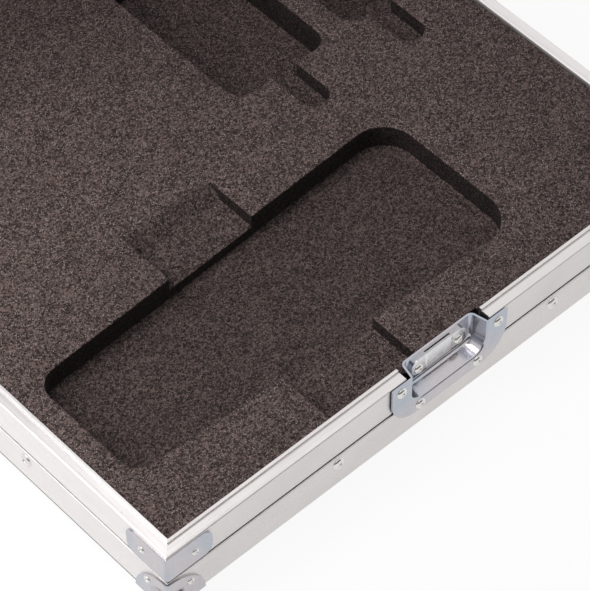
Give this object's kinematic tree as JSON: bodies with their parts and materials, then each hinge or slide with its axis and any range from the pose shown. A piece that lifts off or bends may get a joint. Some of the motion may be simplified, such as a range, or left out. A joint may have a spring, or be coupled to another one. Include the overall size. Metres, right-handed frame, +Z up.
{
  "type": "guitar pedal case",
  "caption": "Flat flight case with a foam tray cut for guitar pedals, a lid on stop hinges, a recessed butterfly latch, a drop handle and rubber feet.",
  "frame": {"origin": "bottom centre of the open case's box, in the plane that the feet stand on", "axes": "+X along the front to the right, +Y from the latch side to the hinge side, +Z up"},
  "size_m": [0.4646, 0.5214, 0.4865],
  "materials": {
    "laminate": "black stippled laminate on thin plywood",
    "extrusion": "satin anodised",
    "zinc_steel": "bright zinc plated",
    "steel_rivet": "satin nickel",
    "tray_foam": "open-cell foam, matte",
    "lid_foam": "open-cell foam, matte",
    "foot_rubber": "matte",
    "grip_plastic": "matte"
  },
  "bodies": {
    "base": {"base_angle_rivets": "steel_rivet", "base_back_angle": "extrusion", "base_back_panel": "laminate", "base_back_rim": "extrusion", "base_ball_corners": "zinc_steel", "base_bottom_panel": "laminate", "base_feet": "foot_rubber", "base_feet_screws": "steel_rivet", "base_foam": "tray_foam", "base_front_angle": "extrusion", "base_front_panel": "laminate", "base_front_rim": "extrusion", "base_left_angle": "extrusion", "base_left_panel": "laminate", "base_left_rim": "extrusion", "base_right_angle": "extrusion", "base_right_panel": "laminate", "base_right_rim": "extrusion", "base_rim_braces": "zinc_steel", "hinge_base_leaves": "zinc_steel", "hinge_base_rivets": "steel_rivet", "hinge_pins": "zinc_steel", "latch_keeper": "zinc_steel", "latch_keeper_dish": "zinc_steel", "latch_keeper_rivets": "steel_rivet"},
    "lid": {"handle_plate": "zinc_steel", "handle_rivets": "steel_rivet", "hinge_lid_leaves": "zinc_steel", "hinge_lid_rivets": "steel_rivet", "latch_dish": "zinc_steel", "latch_dish_rivets": "steel_rivet", "lid_angle_rivets": "steel_rivet", "lid_back_angle": "extrusion", "lid_back_panel": "laminate", "lid_back_rim": "extrusion", "lid_ball_corners": "zinc_steel", "lid_corner_angles": "extrusion", "lid_foam": "lid_foam", "lid_front_angle": "extrusion", "lid_front_panel": "laminate", "lid_front_rim": "extrusion", "lid_left_angle": "extrusion", "lid_left_panel": "laminate", "lid_left_rim": "extrusion", "lid_right_angle": "extrusion", "lid_right_panel": "laminate", "lid_right_rim": "extrusion", "lid_rim_braces": "zinc_steel", "lid_top_panel": "laminate"},
    "handle": {"handle_bail": "zinc_steel", "handle_grip": "grip_plastic"},
    "latch_spindle": {"latch_spindle": "zinc_steel", "latch_washer": "zinc_steel", "latch_wing_pins": "zinc_steel"},
    "latch_wing_left": {"latch_wing_left": "zinc_steel"},
    "latch_wing_right": {"latch_wing_right": "zinc_steel"},
    "latch_hook": {"latch_hook": "zinc_steel"}
  },
  "joints": [
    {"name": "lid_hinge", "type": "hinge", "parent": "base", "child": "lid", "pos_m": [-0.00255, 0.1651, 0.06065], "axis": [1, 0, 0], "range_deg": [0, 90]},
    {"name": "handle_swing", "type": "hinge", "parent": "lid", "child": "handle", "pos_m": [0.2267, 0.2191, 0.27275], "axis": [0, 0, 1], "range_deg": [0, 90]},
    {"name": "latch_turn", "type": "hinge", "parent": "lid", "child": "latch_spindle", "pos_m": [-0.00255, 0.17925, 0.4822], "axis": [0, 0, -1], "range_deg": [0, 180]},
    {"name": "wing_left_fold", "type": "hinge", "parent": "latch_spindle", "child": "latch_wing_left", "pos_m": [-0.00775, 0.17925, 0.4808], "axis": [0, 1, 0], "range_deg": [0, 85]},
    {"name": "wing_right_fold", "type": "hinge", "parent": "latch_spindle", "child": "latch_wing_right", "pos_m": [0.00265, 0.17925, 0.4808], "axis": [0, -1, 0], "range_deg": [0, 85]},
    {"name": "hook_slide", "type": "slide", "parent": "lid", "child": "latch_hook", "axis": [0, 0.8192, -0.5735], "range_m": [0, 0.00488]}
  ],
  "couplings": [
    {"joint": "hook_slide", "follows": "latch_turn", "m_per_rad": 0.0015542}
  ]
}
